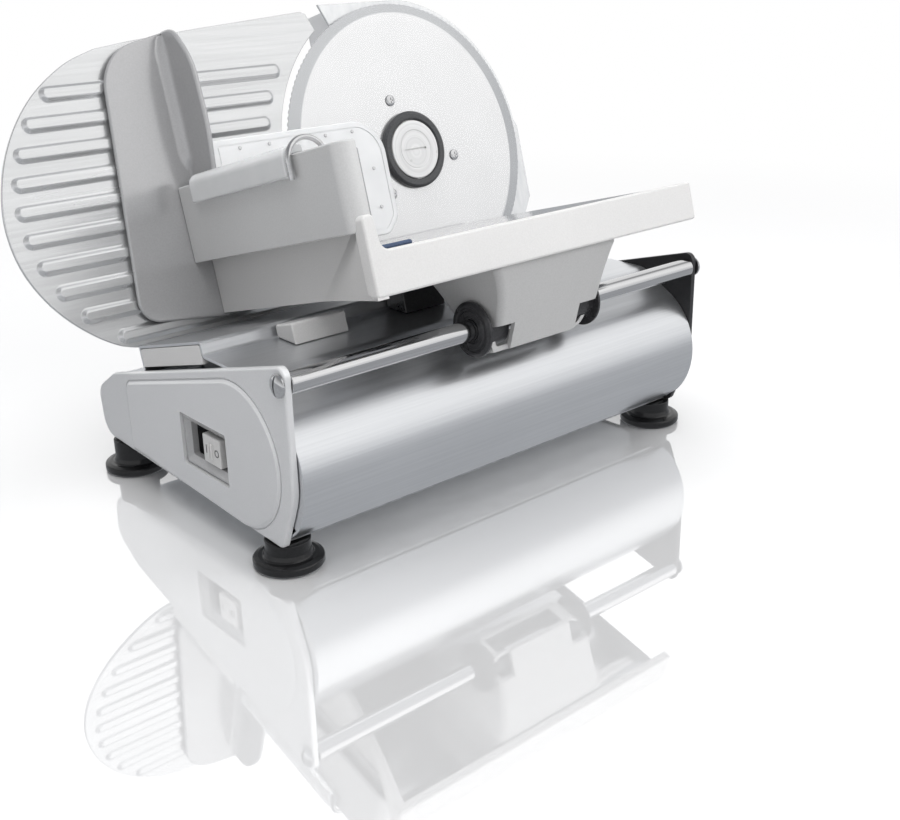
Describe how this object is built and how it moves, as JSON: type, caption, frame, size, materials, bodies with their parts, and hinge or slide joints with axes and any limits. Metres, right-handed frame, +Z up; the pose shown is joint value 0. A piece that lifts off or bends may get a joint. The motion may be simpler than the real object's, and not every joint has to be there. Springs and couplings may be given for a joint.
{
  "type": "food slicer",
  "caption": "Electric food slicer: raked round blade with guard and ribbed fence, carriage on a guide rod, food pusher, motor drive, low steel base on rubber feet.",
  "frame": {"origin": "on the table, under the middle of the whole slicer", "axes": "+X along the guide rod, to the operator's right; +Y from the operator to the back; +Z up"},
  "size_m": [0.3785, 0.2694, 0.2565],
  "materials": {
    "brushed_steel": "brushed sheet steel with a soft grain",
    "bright_steel": "polished",
    "zinc_steel": "zinc plated, dull",
    "silver_paint": "satin silver paint",
    "black_paint": "satin black paint",
    "black_rubber": "moulded rubber, matte",
    "pale_plastic": "light grey, softly glossy",
    "grey_plastic": "mid-grey, softly glossy",
    "clear_plastic": "clear, polished",
    "dark_plastic": "dark, fine texture",
    "nylon": "natural nylon",
    "bronze": "sintered bronze",
    "copper": "wound copper wire"
  },
  "bodies": {
    "base": {"base_skin": "brushed_steel", "end_plate_left": "silver_paint", "end_plate_right": "black_paint", "bottom_plate": "zinc_steel", "ridge_cap_left": "pale_plastic", "ridge_cap_right": "pale_plastic", "guide_rod": "bright_steel", "rod_screw_left": "bright_steel", "rod_screw_right": "bright_steel", "foot_front_left": "black_rubber", "foot_front_right": "black_rubber", "foot_rear_left": "black_rubber", "foot_rear_right": "black_rubber", "switch_frame": "pale_plastic", "switch_body": "dark_plastic", "stop_block": "pale_plastic", "rear_housing": "silver_paint", "guard_plate": "bright_steel", "guard_screw_upper": "zinc_steel", "guard_screw_lower": "zinc_steel", "blade_axle": "bright_steel", "motor_can": "zinc_steel", "motor_end_cap": "dark_plastic", "motor_stator": "zinc_steel", "worm_top_bearing": "bronze", "motor_bracket": "zinc_steel", "fence_rod_left": "bright_steel", "fence_rod_right": "bright_steel", "fence_rod_bracket": "zinc_steel", "knob_bush": "dark_plastic", "cord_gland": "black_rubber", "terminal_block": "nylon"},
    "blade": {"blade": "bright_steel", "blade_gear": "nylon", "blade_bush": "bronze", "hub_ring": "dark_plastic", "blade_screw_1": "bright_steel", "blade_screw_2": "bright_steel", "blade_screw_3": "bright_steel"},
    "lock": {"lock_disc": "pale_plastic"},
    "worm": {"worm_shaft": "bright_steel", "motor_rotor": "copper"},
    "fence": {"fence_plate": "brushed_steel", "fence_bracket": "zinc_steel", "fence_screw": "zinc_steel"},
    "knob": {"thickness_knob": "dark_plastic", "thickness_screw": "bright_steel"},
    "carriage": {"tray_body": "pale_plastic", "tray_top": "bright_steel", "trailing_wall": "grey_plastic", "carriage_leg": "grey_plastic", "bushing_left": "dark_plastic", "bushing_right": "dark_plastic", "glide_foot": "dark_plastic", "tray_bumper": "dark_plastic"},
    "pusher": {"pusher_saddle": "pale_plastic", "pusher_bar": "clear_plastic", "pusher_wire": "bright_steel", "pusher_plate": "clear_plastic"},
    "slider": {"switch_slider": "pale_plastic"}
  },
  "joints": [
    {"name": "carriage_slide", "type": "slide", "parent": "base", "child": "carriage", "axis": [1, 0, 0], "range_m": [-0.0395, 0.092]},
    {"name": "pusher_slide", "type": "slide", "parent": "carriage", "child": "pusher", "axis": [0, 0.9636, -0.2672], "range_m": [-0.085, 0]},
    {"name": "knob_turn", "type": "hinge", "parent": "base", "child": "knob", "pos_m": [-0.06185, 0.0437, 0.05335], "axis": [0, 0.9636, -0.2672], "range_deg": [0, 330]},
    {"name": "fence_slide", "type": "slide", "parent": "base", "child": "fence", "axis": [0, 0.9636, -0.2672], "range_m": [0, 0.015]},
    {"name": "blade_spin", "type": "hinge", "parent": "base", "child": "blade", "pos_m": [0.08815, 0.07416, 0.1632], "axis": [0, 0.9636, -0.2672], "continuous": true},
    {"name": "worm_spin", "type": "hinge", "parent": "base", "child": "worm", "pos_m": [0.13155, 0.08765, 0.15946], "axis": [0, 0.2672, 0.9636], "continuous": true},
    {"name": "lock_turn", "type": "hinge", "parent": "blade", "child": "lock", "pos_m": [0.08815, 0.07416, 0.1632], "axis": [0, 0.9636, -0.2672], "range_deg": [0, 90]},
    {"name": "switch_slide", "type": "slide", "parent": "base", "child": "slider", "axis": [0, 1, 0], "range_m": [0, 0.01]}
  ],
  "couplings": [
    {"joint": "knob_turn", "follows": "fence_slide", "rad_per_m": 383.97},
    {"joint": "worm_spin", "follows": "blade_spin", "ratio": 36}
  ]
}
